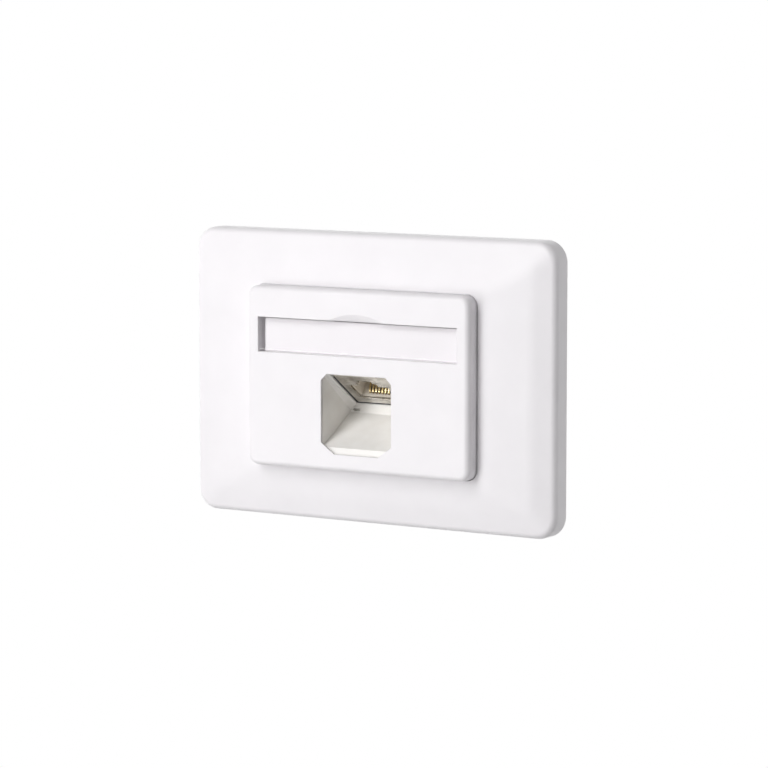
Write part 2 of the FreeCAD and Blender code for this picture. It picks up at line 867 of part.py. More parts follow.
def make_chute_housing():
    """The die-cast chute: two cheeks, a ramp, a sloping face with the jack window, and two screw ears."""
    body = new_body("chute_housing")
    rear = apex_height - d.chute_back
    block = new_sketch(body, "block_outline", "YZ_Plane")
    add_rectangle(block, -chute_front, -rear, chute_bottom, chute_top)
    pad(body, "block", block, 2 * housing_side, symmetric=True)

    wedge = new_sketch(body, "wedge_outline", "YZ_Plane")
    mouth = [(-chute_front, ramp_foot), (-chute_front, d.opening_top)]
    add_polygon(wedge, mouth + [(-apex_height, apex_level), (-apex_height, ramp_head)])
    pocket(body, "wedge", wedge, 2 * opening_side, symmetric=True)
    for hand in (-1, 1):
        add_flank(body, hand)

    face_slope = cosine(d.jack_tilt) / sine(d.jack_tilt)
    module_top = shell_top + d.shell_gap
    face_back = d.chute_wall * cosine(d.jack_tilt) - module_top * sine(d.jack_tilt) - apex_height
    face_high = d.chute_wall * sine(d.jack_tilt) + module_top * cosine(d.jack_tilt) + apex_level
    above = face_high + d.chute_wall
    upper = new_sketch(body, "upper_space", "YZ_Plane")
    add_polygon(
        upper,
        [
            (face_back, face_high),
            (-rear, face_high + (rear + face_back) * face_slope),
            (-rear, above),
            (face_back, above),
        ],
    )
    pocket(body, "module_space", upper, 2 * opening_side, symmetric=True)

    ramp_drop = ramp_head - ramp_foot
    ramp_slope = ramp_drop / chute_depth
    ramp_length = root(chute_depth * chute_depth + ramp_drop * ramp_drop)
    ramp_back = d.chute_wall * ramp_drop / ramp_length - chute_front
    ramp_low = ramp_foot - d.chute_wall * chute_depth / ramp_length
    below = chute_bottom - d.chute_wall
    lower = new_sketch(body, "lower_space", "YZ_Plane")
    add_polygon(
        lower,
        [
            (ramp_back, ramp_low),
            (-rear, ramp_low - (rear + ramp_back) * ramp_slope),
            (-rear, below),
            (ramp_back, below),
        ],
    )
    pocket(body, "space_under_ramp", lower, 2 * opening_side, symmetric=True)

    window = face_sketch(body, "window_outline")
    add_rectangle(window, -window_side, window_side, 0, window_height)
    pocket(body, "jack_window", window, 2 * d.chute_wall)
    slit = new_sketch(body, "sill_slots", "XZ_Plane", apex_height)
    slit_top = apex_level - d.sill_slot_drop
    slit_end = opening_side - d.sill_slot_inset
    for left in (-slit_end, slit_end - d.sill_slot_width):
        add_rectangle(slit, left, left + d.sill_slot_width, slit_top - d.sill_slot_height, slit_top)
    pocket(body, "sill_recesses", slit, d.sill_slot_depth)

    slots = face_sketch(body, "clip_slots", -flange_back - d.clip_gap)
    outer = opening_side + d.clip_engage + d.clip_gap
    low, high = clip_span()
    add_rectangle(slots, -outer, -opening_side, low - d.clip_gap, high + d.clip_gap)
    add_rectangle(slots, opening_side, outer, low - d.clip_gap, high + d.clip_gap)
    pocket(body, "clip_guides", slots, d.clip_thickness + 2 * d.clip_gap)

    ears = new_sketch(body, "ear_outline", "XZ_Plane", d.mount_thickness)
    ear_root = housing_side - d.cheek_wall / 2
    ear_tip = housing_side + d.ear_width
    ear_low, ear_high = ear_level - d.ear_height / 2, ear_level + d.ear_height / 2
    add_rectangle(ears, ear_root, ear_tip, ear_low, ear_high)
    add_rectangle(ears, -ear_tip, -ear_root, ear_low, ear_high)
    pad(body, "ears", ears, d.ear_thickness)

    def on_ear_corner(point):
        return near(abs(point.x), ear_tip) and (near(point.z, ear_low) or near(point.z, ear_high))

    dress(body, "Chamfer", "ear_corners", every(on_ear_corner), d.ear_corner)
    holes = new_sketch(body, "ear_holes", "XZ_Plane", d.mount_thickness)
    for across, upward in screw_places:
        add_circle(holes, d.screw_diameter / 2 + d.screw_gap, across, upward)
    pocket(body, "screw_holes", holes, d.ear_thickness, reverse=True)
    return body


def make_housing_screws():
    """Two slotted cheese-head screws, one group."""
    body = new_body("housing_screws")
    seat = d.mount_thickness + d.ear_thickness
    shanks = new_sketch(body, "shank_outlines", "XZ_Plane", -d.screw_tip)
    heads = new_sketch(body, "head_outlines", "XZ_Plane", seat)
    slots = new_sketch(body, "slot_outlines", "XZ_Plane", seat + d.head_height)
    long, short = d.head_diameter / 2, d.slot_cut / 2
    for across, upward in screw_places:
        add_circle(shanks, d.screw_diameter / 2, across, upward)
        add_circle(heads, d.head_diameter / 2, across, upward)
        add_rectangle(slots, across - long, across + long, upward - short, upward + short)
    pad(body, "heads", heads, d.head_height)
    pad(body, "shanks", shanks, seat + d.screw_tip)
    pocket(body, "drive_slots", slots, d.slot_depth)
    return body


def port_corners(grow=0):
    """The port's outline in the jack's face: the plug's opening with the key and latch steps above it."""
    half = [d.port_width / 2 + grow, d.key_width / 2 + grow, d.latch_width / 2 + grow]
    level = [port_floor + d.port_height + grow, port_floor + d.port_height + d.key_height + grow]
    top = port_floor + d.port_height + d.key_height + d.latch_height + grow
    right = [
        (half[0], port_floor - grow),
        (half[0], level[0]),
        (half[1], level[0]),
        (half[1], level[1]),
        (half[2], level[1]),
        (half[2], top),
    ]
    return right + mirrored(right)


def make_jack_shield():
    """The folded metal can round the jack, with the port cut in its face and a bezel above it."""
    body = new_body("jack_shield", on_jack=True)
    side = d.jack_width / 2
    outline = new_sketch(body, "outline", "XY_Plane", jack_back)
    add_rectangle(outline, -side, side, jack_foot, jack_top)
    pad(body, "block", outline, d.jack_length)
    inner = side - d.shield_wall
    inside = add_rectangle(
        new_sketch(body, "inside", "XY_Plane", jack_back),
        -inner,
        inner,
        jack_foot + d.shield_wall,
        jack_top - d.shield_wall,
    )
    pocket(body, "hollow", inside, d.jack_length - d.shield_wall, reverse=True)
    bezel = new_sketch(body, "bezel_outline", "XY_Plane", jack_front)
    add_rectangle(bezel, -side, side, jack_top - d.shield_wall, jack_top + d.bezel_rise)
    pad(body, "bezel", bezel, d.shield_wall, reverse=True)
    port = add_polygon(new_sketch(body, "port_outline", "XY_Plane", jack_front), port_corners(d.port_lip))
    pocket(body, "port", port, d.shield_wall)
    return body


def row_places(count, pitch):
    """Middles of a row of equal steps about the jack's middle."""
    return [(step - (count - 1) / 2) * pitch for step in range(count)]


def contact_places():
    return row_places(len(WIRE_NUMBERS), d.contact_pitch)


def make_jack_insert():
    """The moulded jack body with the stepped port and a slot for each contact."""
    body = new_body("jack_insert", on_jack=True)
    clear = d.shield_wall + d.insert_gap
    side = d.jack_width / 2 - clear
    outline = add_rectangle(
        new_sketch(body, "outline", "XY_Plane", jack_back), -side, side, jack_foot + clear, jack_top - clear
    )
    pad(body, "block", outline, insert_front - jack_back)
    port = add_polygon(new_sketch(body, "port_outline", "XY_Plane", insert_front), port_corners())
    pocket(body, "port", port, d.port_depth)
    slot_front = contact_nose + d.contact_gap
    slots = new_sketch(body, "contact_slots", "XY_Plane", slot_front)
    half = d.contact_width / 2 + d.contact_gap
    low = contact_level - d.contact_thickness / 2 - d.contact_gap
    for across in contact_places():
        add_rectangle(slots, across - half, across + half, low, port_floor + d.contact_gap)
    pocket(body, "slots", slots, slot_front - jack_back)
    return body


def make_contact(number, across):
    """A gold spring wire: a run along the slot, a bend at the mouth and a leg that rises into the port."""
    body = new_body(f"contact_{number}", on_jack=True)
    bend = d.contact_bend
    centre = (contact_level + bend, contact_nose - bend - d.contact_thickness / 2)
    rise = d.contact_rise
    leg_start = (centre[0] + bend * cosine(rise), centre[1] + bend * sine(rise))
    leg_end = (
        leg_start[0] + d.contact_length * sine(rise),
        leg_start[1] - d.contact_length * cosine(rise),
    )
    path = new_sketch(body, "path", "YZ_Plane", across)
    add_line(path, (contact_level, board_front), (contact_level, centre[1]))
    circle = Part.Circle(Vector(centre[0].value, centre[1].value, 0), Vector(0, 0, 1), bend.value)
    path.addGeometry(Part.ArcOfCircle(circle, math.radians(rise.value), math.pi))
    add_line(path, leg_start, leg_end)
    place_point(path, 0, 1, contact_level, board_front)
    hold(path, "Tangent", 0, 2, 1, 2)
    place_point(path, 1, 3, *centre)
    hold(path, "Radius", 1, bend)
    hold(path, "Tangent", 1, 1, 2, 1)
    hold(path, "Distance", 2, d.contact_length)
    hold(path, "DistanceX", -1, 1, 2, 2, leg_end[0])
    section = new_sketch(body, "section", "XY_Plane", board_front)
    wide, thick = d.contact_width / 2, d.contact_thickness / 2
    add_rectangle(section, across - wide, across + wide, contact_level - thick, contact_level + thick)
    wire = body.newObject("PartDesign::AdditivePipe", "wire")
    wire.Profile = section
    wire.Spine = (path, ["Edge1", "Edge2", "Edge3"])
    doc.recompute()
    return body


def add_board_outline(sketch):
    side = d.jack_width / 2 - d.board_margin
    return add_rectangle(sketch, -side, side, jack_foot + d.board_margin, jack_top - d.board_margin)


def make_circuit_board():
    body = new_body("circuit_board", on_jack=True)
    outline = add_board_outline(new_sketch(body, "outline", "XY_Plane", board_back))
    pad(body, "board", outline, d.board_thickness)
    return body


def terminal_places():
    """Middles of the eight terminals, two rows of four, with the way each row opens."""
    return [
        (across, jack_middle + row * d.terminal_row / 2, row)
        for row in (-1, 1)
        for across in row_places(len(WIRE_NUMBERS) // 2, d.terminal_pitch)
    ]


def make_terminal_block():
    """The moulded block that holds the terminals, slit so that wires can be pressed in from both sides."""
    body = new_body("terminal_block", on_jack=True)
    outline = add_board_outline(new_sketch(body, "outline", "XY_Plane", block_back))
    pad(body, "block", outline, d.block_length)
    seats = new_sketch(body, "terminal_seats", "XY_Plane", block_back)
    slits = new_sketch(body, "wire_slits", "XY_Plane", block_back)
    wide = d.terminal_width / 2 + d.terminal_gap
    thick = d.terminal_thickness / 2 + d.terminal_gap
    slit = d.fork_mouth / 2
    for across, level, row in terminal_places():
        add_rectangle(seats, across - wide, across + wide, level - thick, level + thick)
        outer = jack_middle + row * d.jack_height / 2
        low, high = (outer, level) if row < 0 else (level, outer)
        add_rectangle(slits, across - slit, across + slit, low, high)
    pocket(body, "seats", seats, d.block_length, reverse=True)
    pocket(body, "slits", slits, d.fork_depth, reverse=True)
    return body


def make_terminal(number, across, level):
    """A forked blade that cuts through a wire's insulation."""
    body = new_body(f"terminal_{number}", on_jack=True)
    tip = board_back - d.terminal_length
    throat = tip + (d.fork_mouth - d.fork_width) / 2
    floor = tip + d.fork_depth
    wide, mouth, fork = d.terminal_width / 2, d.fork_mouth / 2, d.fork_width / 2
    right = [(wide, board_back), (wide, tip), (mouth, tip), (fork, throat), (fork, floor)]
    corners = [(across + x, n) for x, n in right] + [(across - x, n) for x, n in reversed(right)]
    outline = add_polygon(new_sketch(body, "outline", "XZ_Plane", -level), corners)
    pad(body, "blade", outline, d.terminal_thickness, symmetric=True)
    return body


def make_module_housing():
    """The moulded sleeve round jack, board and terminals.

    Its flange seats behind the chute, and its nose fills the gap between the jack and the chute's window.
    """
    body = new_body("module_housing", on_jack=True)
    flange_side = shell_side + d.flange_side
    flange = new_sketch(body, "flange_outline", "XY_Plane", flange_back)
    add_rectangle(flange, -flange_side, flange_side, shell_foot, shell_top)
    pad(body, "flange", flange, d.flange_thickness)
    sleeve = new_sketch(body, "sleeve_outline", "XY_Plane", shell_back)
    add_rectangle(sleeve, -shell_side, shell_side, shell_foot, shell_top)
    pad(body, "sleeve", sleeve, flange_front - shell_back)
    inner = shell_side - d.shell_wall
    bore = add_rectangle(
        new_sketch(body, "bore_outline", "XY_Plane", shell_back),
        -inner,
        inner,
        shell_foot + d.shell_wall,
        shell_top - d.shell_wall,
    )
    pocket(body, "bore", bore, flange_front - shell_back, reverse=True)
    nose = new_sketch(body, "nose_outline", "XY_Plane", jack_front)
    outer, inside = window_side - d.nose_gap, d.jack_width / 2 + d.nose_gap
    right = [
        (outer, d.nose_gap),
        (outer, jack_top),
        (inside, jack_top),
        (inside, jack_foot - d.nose_gap),
    ]
    add_polygon(nose, right + mirrored(right))
    pad(body, "nose", nose, jack_front - flange_front, reverse=True)
    return body


def clip_span():
    """Lowest and highest point of the retaining clip up the jack's face."""
    return clip_level - d.clip_base, clip_level + d.clip_reach


def make_retaining_clip():
    """A flat spring fork that slides up behind the flange and into grooves in the cheeks."""
    body = new_body("retaining_clip", on_jack=True)
    outer = opening_side + d.clip_engage
    inner = shell_side + d.clip_gap
    low, high = clip_span()
    right = [(outer, low), (outer, high), (inner, high), (inner, clip_level)]
    outline = new_sketch(body, "outline", "XY_Plane", flange_back - d.clip_thickness)
    add_polygon(outline, right + mirrored(right))
    pad(body, "fork", outline, d.clip_thickness)
    return body


def make_wire_guide():
    """A moulded plate with a cross that keeps the four wire pairs apart."""
    body = new_body("wire_guide", on_jack=True)
    outline = add_board_outline(new_sketch(body, "outline", "XY_Plane", guide_back))
    pad(body, "plate", outline, d.guide_thickness)
    windows = new_sketch(body, "pair_windows", "XY_Plane", guide_back)
    near_side = d.guide_bar / 2
    far_side = d.jack_width / 2 - d.board_margin - d.guide_rim
    far_end = d.jack_height / 2 - d.board_margin - d.guide_rim
    for left, right in ((near_side, far_side), (-far_side, -near_side)):
        for low, high in ((near_side, far_end), (-far_end, -near_side)):
            add_rectangle(windows, left, right, jack_middle + low, jack_middle + high)
    pocket(body, "windows", windows, d.guide_thickness, reverse=True)
    return body


def add_saddle(body, length, hand):
    """Half of the cable clamp, above or below the middle: a block with a round trough and two lugs."""
    split = jack_middle + hand * d.lug_gap / 2
    lug_end = split + hand * d.lug_thickness
    far_side = jack_middle + hand * trough_radius
    right = [(shell_side, split), (shell_side, lug_end), (trough_radius, lug_end), (trough_radius, far_side)]
    outline = new_sketch(body, "saddle_outline", "XY_Plane", strap_middle)
    add_polygon(outline, right + mirrored(right))
    pad(body, "saddle", outline, length, symmetric=True)
    trough = new_sketch(body, "trough_outline", "XY_Plane", strap_middle)
    add_circle(trough, trough_bore, 0, jack_middle)
    pocket(body, "trough", trough, length, symmetric=True)


def add_lug_holes(body, radius, level):
    holes = new_sketch(body, "lug_holes", "XZ_Plane", -level)
    for side in (-1, 1):
        add_circle(holes, radius, side * lug_middle, strap_middle)
    pocket(body, "lug_bores", holes, 2 * d.lug_thickness, symmetric=True)


def make_rear_cap():
    """The end cap with the cable inlet and a trough that carries the cable."""
    body = new_body("rear_cap", on_jack=True)
    outline = add_rectangle(
        new_sketch(body, "outline", "XY_Plane", cap_back), -shell_side, shell_side, shell_foot, shell_top
    )
    pad(body, "plate", outline, d.cap_thickness)
    add_saddle(body, d.trough_length, -1)
    add_lug_holes(body, d.clamp_screw_diameter / 2 + d.thread_gap, jack_middle - d.lug_gap / 2)
    inlet = new_sketch(body, "inlet_outline", "XY_Plane", cap_back)
    add_circle(inlet, d.inlet_bore / 2, 0, jack_middle)
    pocket(body, "inlet", inlet, d.cap_thickness, reverse=True)
    return body


def make_cable_clamp():
    """The strap that presses the cable into the trough."""
    body = new_body("cable_clamp", on_jack=True)
    add_saddle(body, d.strap_width, 1)
    add_lug_holes(body, d.clamp_screw_diameter / 2 + d.clamp_screw_gap, jack_middle + d.lug_gap / 2)
    return body


def make_clamp_screws():
    """Two slotted screws that draw the strap down, one group."""
    body = new_body("clamp_screws", on_jack=True)
    seat = jack_middle + d.lug_gap / 2 + d.lug_thickness
    tip = jack_middle - d.lug_gap / 2 - d.lug_thickness
    heads = new_sketch(body, "head_outlines", "XZ_Plane", -seat)
    shanks = new_sketch(body, "shank_outlines", "XZ_Plane", -seat)
    slots = new_sketch(body, "slot_outlines", "XZ_Plane", -seat - d.clamp_head_height)
    long, short = d.clamp_head_diameter / 2, d.clamp_slot_cut / 2
    for side in (-1, 1):
        across = side * lug_middle
        add_circle(heads, d.clamp_head_diameter / 2, across, strap_middle)
        add_circle(shanks, d.clamp_screw_diameter / 2, across, strap_middle)
        add_rectangle(slots, across - long, across + long, strap_middle - short, strap_middle + short)
    pad(body, "heads", heads, d.clamp_head_height, reverse=True)
    pad(body, "shanks", shanks, seat - tip)
    pocket(body, "drive_slots", slots, d.clamp_head_height / 2, reverse=True)
    return body


def check_and_write(bodies):
    for item in doc.Objects:
        if "Invalid" in item.State or "Error" in item.State:
            raise RuntimeError(f"{item.Label}: {item.State}")
    for body in bodies:
        if body.Shape.isNull() or not body.Shape.isValid():
            raise RuntimeError(f"{body.Label}: no valid shape")
    os.makedirs("parts", exist_ok=True)
    for body in bodies:
        body.Shape.exportStep(f"parts/{body.Label}.step")
        print(body.Label, len(body.Shape.Solids), round(body.Shape.Volume, 2))


pieces = [
    make_cover_frame(),
    make_centre_plate(),
    make_label_cover(),
    make_label_strip(),
    make_mounting_plate(),
    make_chute_housing(),
    make_housing_screws(),
    make_jack_shield(),
    make_jack_insert(),
    make_circuit_board(),
    make_terminal_block(),
    make_wire_guide(),
    make_module_housing(),
    make_retaining_clip(),
    make_rear_cap(),
    make_cable_clamp(),
    make_clamp_screws(),
]
pieces += [make_contact(number, across) for number, across in zip(WIRE_NUMBERS, contact_places())]
pieces += [make_terminal(number, *place[:2]) for number, place in zip(WIRE_NUMBERS, terminal_places())]
check_and_write(pieces)
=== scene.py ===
import json
import math

import bpy
from mathutils import Matrix, Vector


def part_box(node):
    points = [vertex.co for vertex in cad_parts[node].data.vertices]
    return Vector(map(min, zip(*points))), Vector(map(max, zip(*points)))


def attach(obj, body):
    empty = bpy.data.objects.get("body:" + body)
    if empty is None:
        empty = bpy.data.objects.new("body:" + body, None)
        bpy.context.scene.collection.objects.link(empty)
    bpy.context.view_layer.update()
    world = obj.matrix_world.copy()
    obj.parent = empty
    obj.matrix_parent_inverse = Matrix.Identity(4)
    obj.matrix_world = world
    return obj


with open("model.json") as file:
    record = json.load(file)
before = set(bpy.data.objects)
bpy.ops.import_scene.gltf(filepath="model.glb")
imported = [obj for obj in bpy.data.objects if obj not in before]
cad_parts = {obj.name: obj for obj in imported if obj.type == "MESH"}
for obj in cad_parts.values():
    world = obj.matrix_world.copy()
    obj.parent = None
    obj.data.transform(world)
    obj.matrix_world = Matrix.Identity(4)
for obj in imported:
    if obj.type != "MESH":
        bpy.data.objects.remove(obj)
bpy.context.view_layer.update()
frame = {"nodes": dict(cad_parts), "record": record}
nodes = frame["nodes"]
scene = bpy.context.scene

MM = 0.001
WHITE = (1, 1, 1, 1)

# The camera: angles in degrees, lengths in metres, the sensor in millimetres and image measures in pixels
CAMERA_YAW = 32
CAMERA_PITCH = 6.52
CAMERA_DISTANCE = 0.974
CAMERA_CLIP_START = 0.05
SENSOR_WIDTH = 36
IMAGE_WIDTH = 768
FOCAL_LENGTH = 3536
ORIGIN_RIGHT_OF_MIDDLE = -1.5
ORIGIN_ABOVE_MIDDLE = 6.5

# The lamps: name, degrees to the right of the front, degrees above the level, watts and metres across
LAMP_DISTANCE = 1.3
LAMPS = (
    ("key", -12, 40, 6.2, 0.6),
    ("front", -20, 15, 6.1, 0.6),
    ("fill", -30, -25, 9.2, 0.6),
    ("side", 120, 10, 7.8, 2.0),
    ("rear", -135, 15, 4.5, 2.0),
)

# The dome's strength straight below and straight above the part
DOME_BELOW = 0.0
DOME_ABOVE = 0.1

# The floor in metres, with the share of its radius at which it starts to fade
FLOOR_LEVEL = -0.3
FLOOR_RADIUS = 0.7
FLOOR_FADE_START = 0.45
FLOOR_CORNERS = 64
FLOOR_DARK = (0.84, 0.84, 0.84)
FLOOR_LIGHT = (0.88, 0.88, 0.88)

# The lip round the centre plate in millimetres: its sides lie out from the plate's edge, and its front lies
# behind the frame's front
PLATE_CORNER = 3
LIP_INNER = 0.03
LIP_OUTER = 0.17
LIP_FRONT = 0.1
LIP_DEPTH = 1
LIP_CORNER_STEPS = 10

# The values between which most of a noise pattern lies
NOISE_LOW = 0.3
NOISE_HIGH = 0.7

# The samples with which a soft edge is shaded
EDGE_SAMPLES = 6


class Nodes:
    """Adds linked nodes to the node tree of a material or of the world."""

    def __init__(self, tree):
        self.tree = tree

    def node(self, kind, source=None, **sockets):
        """A new node with its first input linked to a source and the named inputs set."""
        item = self.tree.nodes.new(kind)
        if source is not None:
            self.tree.links.new(source, item.inputs[0])
        for socket, value in sockets.items():
            item.inputs[socket.replace("_", " ")].default_value = value
        return item

    def span(self, source, low, high, start, end):
        """Maps the range from start to end onto the range from low to high."""
        limits = {"From_Min": start, "From_Max": end, "To_Min": low, "To_Max": high}
        return self.node("ShaderNodeMapRange", source, **limits).outputs["Result"]

    def combined(self, operation, first, second):
        """Two values joined by a sum, a product or the like."""
        item = self.node("ShaderNodeMath", first)
        item.operation = operation
        self.tree.links.new(second, item.inputs[1])
        return item.outputs["Value"]

    def seen_rays(self):
        """One for rays from the camera and for mirrored and transmitted rays, and zero for the rest."""
        path = self.node("ShaderNodeLightPath")
        seen = path.outputs["Is Camera Ray"]
        for kind in ("Is Glossy Ray", "Is Transmission Ray"):
            seen = self.combined("MAXIMUM", seen, path.outputs[kind])
        return seen

    def mix(self, first, second, factor, output):
        """Sends a mix of two shaders to the output, all of the second one where the factor is one."""
        mixed = self.node("ShaderNodeMixShader", factor)
        self.tree.links.new(first.outputs[0], mixed.inputs[1])
        self.tree.links.new(second.outputs[0], mixed.inputs[2])
        self.tree.links.new(mixed.outputs[0], self.tree.nodes[output].inputs["Surface"])


class Surface(Nodes):
    """A Principled material built up from procedural layers, whose sizes are in millimetres."""

    def __init__(self, name, **sockets):
        self.material = bpy.data.materials.new(name)
        self.material.use_nodes = True
        super().__init__(self.material.node_tree)
        self.shader = self.tree.nodes["Principled BSDF"]
        self.place = self.node("ShaderNodeTexCoord").outputs["Object"]
        self.normal = None
        for socket, value in sockets.items():
            self.shader.inputs[socket.replace("_", " ")].default_value = value

    def stretched(self, stretch, turn=(0, 0, 0)):
        """The surface's coordinates, stretched and turned, for a pattern with a grain."""
        item = self.node("ShaderNodeMapping", self.place, Scale=stretch, Rotation=turn)
        return item.outputs["Vector"]

    def noise(self, size, detail, place=None):
        """Cloudy noise with patches of about this size."""
        item = self.node("ShaderNodeTexNoise", place or self.place, Scale=1 / (size * MM), Detail=detail)
        return item.outputs["Fac"]

    def cells(self, size):
        """A pattern of cells of about this size: the distance from their middles, and their colours."""
        item = self.node("ShaderNodeTexVoronoi", self.place, Scale=1 / (size * MM))
        return item.outputs["Distance"], item.outputs["Color"]

    def ramp(self, source, first, last, start, end):
        """A blend of two colours, from the first one at start to the last one at end."""
        item = self.node("ShaderNodeValToRGB", source)
        for stop, tint, position in zip(item.color_ramp.elements, (first, last), (start, end)):
            stop.position = position
            stop.color = (*tint, 1)
        return item.outputs["Color"]

    def colour(self, source, dark, light, start=NOISE_LOW, end=NOISE_HIGH):
        """Colours the surface by a pattern."""
        self.tree.links.new(self.ramp(source, dark, light, start, end), self.shader.inputs["Base Color"])

    def rough(self, source, low, high):
        """Roughens the surface by a pattern."""
        value = self.span(source, low, high, NOISE_LOW, NOISE_HIGH)
        self.tree.links.new(value, self.shader.inputs["Roughness"])

    def soft_edges(self, radius):
        """Shades sharp edges as if they were rounded."""
        item = self.node("ShaderNodeBevel", Radius=radius * MM)
        item.samples = EDGE_SAMPLES
        self.use_normal(item.outputs["Normal"])

    def bump(self, height, depth, strength):
        """Raises the surface by a pattern, with this depth from its lowest to its highest place."""
        item = self.node("ShaderNodeBump", Strength=strength, Distance=depth * MM)
        self.tree.links.new(height, item.inputs["Height"])
        if self.normal is not None:
            self.tree.links.new(self.normal, item.inputs["Normal"])
        self.use_normal(item.outputs["Normal"])

    def use_normal(self, normal):
        """Makes a normal the shader's own, and the base of the next bump."""
        self.normal = normal
        self.tree.links.new(normal, self.shader.inputs["Normal"])

    def see_through(self, face_on, edge_on_tint_and_painted_shade, start, end, index):
        """Makes the shader a thin mirror coat on a clear sheet, darker the flatter it is seen: partly the
        tint of a longer path through it, partly painted shade on its end faces.
        """
        facing = self.node("ShaderNodeLayerWeight", Blend=0.5).outputs["Facing"]
        # The sheet darkens towards edge-on: partly the tint of its longer path, partly painted shade on its
        # end faces in the gaps round it
        clear = self.node("ShaderNodeBsdfTransparent", self.ramp(facing, face_on, edge_on_tint_and_painted_shade, start, end))
        coat = self.node("ShaderNodeFresnel", IOR=index).outputs["Fac"]
        inner = self.node("ShaderNodeNewGeometry").outputs["Backfacing"]
        outside = self.span(inner, low=1, high=0, start=0, end=1)
        outer = self.combined("MULTIPLY", coat, outside)
        shine = self.combined("MULTIPLY", outer, self.seen_rays())
        self.mix(clear, self.shader, shine, "Material Output")


def moulded(name, dark, light, rough, edge):
    """Injection-moulded plastic: faint shade drift, a fine eroded grain and slightly uneven gloss."""
    surface = Surface(name, IOR=1.5)
    surface.colour(surface.noise(size=12, detail=3), dark, light)
    surface.rough(surface.noise(size=1.6, detail=4), *rough)
    surface.soft_edges(radius=edge)
    surface.bump(surface.noise(size=0.18, detail=3), depth=0.004, strength=0.35)
    surface.bump(surface.noise(size=9, detail=1), depth=0.02, strength=0.3)
    return surface.material


def cast_metal(name):
    """Die-cast zinc under a matt pale finish: cloudy tone, flow lines and small pits."""
    surface = Surface(name, Metallic=0.04, IOR=1.5)
    surface.colour(surface.noise(size=3.5, detail=5), dark=(0.90, 0.88, 0.85), light=(0.94, 0.925, 0.90))
    flow = surface.noise(size=1.2, detail=4, place=surface.stretched((1, 0.35, 0.35)))
    surface.rough(flow, low=0.45, high=0.6)
    surface.soft_edges(radius=0.18)
    surface.bump(surface.noise(size=0.4, detail=4), depth=0.03, strength=0.5)
    distance, _ = surface.cells(size=1.1)
    pits = surface.span(distance, low=0, high=1, start=0.02, end=0.16)
    surface.bump(pits, depth=0.03, strength=0.4)
    return surface.material


def sheet_metal(name, dark, light, rough, stretch):
    """Rolled or drawn metal with fine streaks along one direction."""
    surface = Surface(name, Metallic=1.0)
    streaks = surface.noise(size=0.4, detail=4, place=surface.stretched(stretch))
    surface.colour(surface.noise(size=4, detail=4), dark, light)
    surface.rough(streaks, *rough)
    surface.soft_edges(radius=0.12)
    surface.bump(streaks, depth=0.006, strength=0.5)
    return surface.material


def plated_steel(name):
    """Zinc-plated sheet with faint crystal patches and rolling streaks."""
    surface = Surface(name, Metallic=1.0)
    _, patches = surface.cells(size=3.5)
    drift = surface.combined("MULTIPLY", patches, surface.noise(size=1.2, detail=4))
    surface.colour(drift, dark=(0.56, 0.58, 0.61), light=(0.70, 0.72, 0.74), start=0.05, end=0.6)
    streaks = surface.noise(size=0.6, detail=3, place=surface.stretched((0.12, 1, 1)))
    surface.rough(streaks, low=0.3, high=0.46)
    surface.soft_edges(radius=0.12)
    surface.bump(surface.noise(size=0.5, detail=3), depth=0.01, strength=0.4)
    return surface.material


def clear_plastic(name):
    """Clear moulded plastic with faint haze, hairline handling marks, and painted shade on its end faces
    where they are seen edge-on.
    """
    surface = Surface(name, Metallic=1.0)
    surface.colour(surface.noise(size=10, detail=2), dark=(0.965, 0.97, 0.98), light=(0.985, 0.988, 0.992))
    surface.rough(surface.noise(size=1.5, detail=4), low=0.02, high=0.08)
    along = surface.stretched((0.05, 1, 1), turn=(0, math.radians(12), 0))
    surface.bump(surface.noise(size=0.6, detail=3, place=along), depth=0.002, strength=0.2)
    # The dark edge-on tint is partly painted shade, which darkens the window's end faces like the shade in
    # the gaps round it
    surface.see_through(
        face_on=(0.994, 0.992, 0.994),
        edge_on_tint_and_painted_shade=(0.62, 0.61, 0.61),
        start=0.4,
        end=0.9,
        index=1.49,
    )
    return surface.material


def paper(name):
    """Uncoated paper: a matt sheet with short fibres."""
    surface = Surface(name, Specular_IOR_Level=0.25)
    fibres = surface.noise(size=0.22, detail=5, place=surface.stretched((0.4, 1, 1)))
    surface.colour(fibres, dark=(0.965, 0.943, 0.962), light=(0.985, 0.963, 0.982))
    surface.rough(surface.noise(size=0.4, detail=3), low=0.75, high=0.9)
    surface.bump(fibres, depth=0.01, strength=0.5)
    return surface.material


def gold(name):
    """Selective gold plating that is thinner, and so redder and duller, in patches."""
    surface = Surface(name, Metallic=1.0)
    surface.colour(surface.noise(size=0.6, detail=4), dark=(0.42, 0.32, 0.15), light=(0.64, 0.52, 0.30))
    surface.rough(surface.noise(size=0.3, detail=3), low=0.14, high=0.26)
    surface.bump(surface.noise(size=0.12, detail=3), depth=0.002, strength=0.3)
    return surface.material


def circuit_board(name):
    """Green solder resist over straight copper tracks."""
    surface = Surface(name, IOR=1.52, Coat_Weight=0.6, Coat_Roughness=0.15)
    wave = surface.node("ShaderNodeTexWave", surface.place, Scale=260.0, Distortion=1.5, Detail=1.0)
    wave.wave_profile = "SAW"
    tracks = wave.outputs["Fac"]
    surface.colour(tracks, dark=(0.018, 0.12, 0.05), light=(0.05, 0.26, 0.11), start=0.45, end=0.55)
    surface.rough(surface.noise(size=0.8, detail=3), low=0.3, high=0.42)
    surface.bump(tracks, depth=0.02, strength=0.4)
    return surface.material


